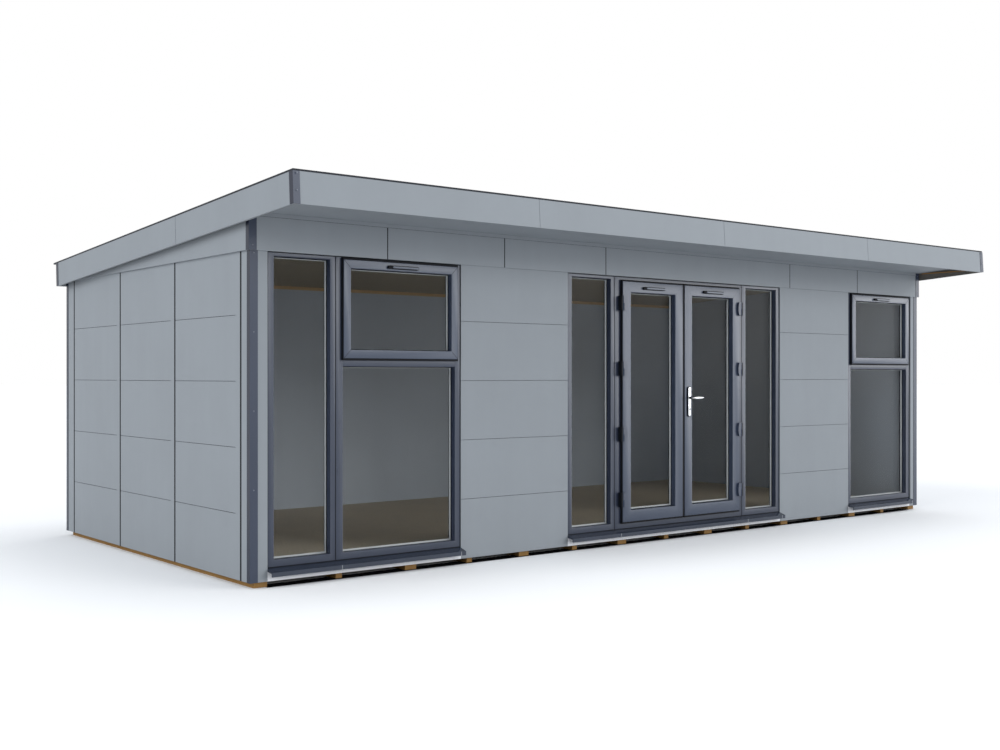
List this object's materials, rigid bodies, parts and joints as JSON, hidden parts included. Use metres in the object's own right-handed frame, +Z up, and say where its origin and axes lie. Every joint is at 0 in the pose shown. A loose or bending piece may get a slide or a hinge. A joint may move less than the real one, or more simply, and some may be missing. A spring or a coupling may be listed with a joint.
{
  "type": "garden office pod",
  "caption": "Single-storey garden office with grey insulated panel walls, a mono-pitch roof over a deep front overhang, glazed units and outward French doors.",
  "frame": {"origin": "on the ground, at the middle of the bounding box in plan", "axes": "+X along the front from left to right, +Y from front to back, +Z up"},
  "size_m": [7.376, 4.112, 2.5061],
  "materials": {
    "cladding": "matt light blue-grey",
    "dark_trim": "satin anthracite",
    "frame_paint": "satin anthracite grey",
    "hinge_paint": "satin dark grey",
    "glass": "clear sealed units",
    "timber": "treated softwood",
    "floor_deck": "brown board",
    "roof_deck": "dark brown board under a dark membrane",
    "bright_metal": "polished"
  },
  "bodies": {
    "building": {"left_wall": "cladding", "right_wall": "cladding", "rear_wall": "cladding", "front_wall_left": "cladding", "front_wall_right": "cladding", "front_header": "cladding", "left_gable": "cladding", "right_gable": "cladding", "base_rails": "cladding", "soffit_trim": "cladding", "front_soffit": "cladding", "front_fascia": "cladding", "rear_fascia": "cladding", "left_fascia": "cladding", "right_fascia": "cladding", "wall_corner_trims": "dark_trim", "header_corner_trims": "dark_trim", "fascia_corner_trims": "dark_trim", "roof_edge_trim": "dark_trim", "sills": "dark_trim", "left_unit_frame": "frame_paint", "right_unit_frame": "frame_paint", "left_vent_sash": "frame_paint", "right_vent_sash": "frame_paint", "door_unit_frame": "frame_paint", "frame_hinges": "hinge_paint", "left_unit_glass": "glass", "right_unit_glass": "glass", "sidelight_glass": "glass", "floor_bearers": "timber", "rear_wall_plate": "timber", "floor_panel": "floor_deck", "roof_panel": "roof_deck", "sash_trickle_vents": "frame_paint"},
    "left_leaf": {"left_leaf_frame": "frame_paint", "left_leaf_glass": "glass", "left_leaf_hinges": "hinge_paint", "left_leaf_trickle_vent": "frame_paint"},
    "right_leaf": {"right_leaf_frame": "frame_paint", "right_leaf_glass": "glass", "right_leaf_hinges": "hinge_paint", "handle_plates": "bright_metal", "right_leaf_trickle_vent": "frame_paint"},
    "lever": {"handle_lever": "bright_metal"}
  },
  "joints": [
    {"name": "left_leaf_hinge", "type": "hinge", "parent": "building", "child": "left_leaf", "pos_m": [-0.447, -1.41189, 1.12], "axis": [0, 0, -1], "range_deg": [0, 110]},
    {"name": "right_leaf_hinge", "type": "hinge", "parent": "building", "child": "right_leaf", "pos_m": [0.947, -1.41189, 1.12], "axis": [0, 0, 1], "range_deg": [0, 110]},
    {"name": "lever_turn", "type": "hinge", "parent": "right_leaf", "child": "lever", "pos_m": [0.3055, -1.36139, 1.14], "axis": [0, 1, 0], "range_deg": [0, 45], "stiffness_Nm_per_rad": 2, "springref_deg": -28.65}
  ]
}
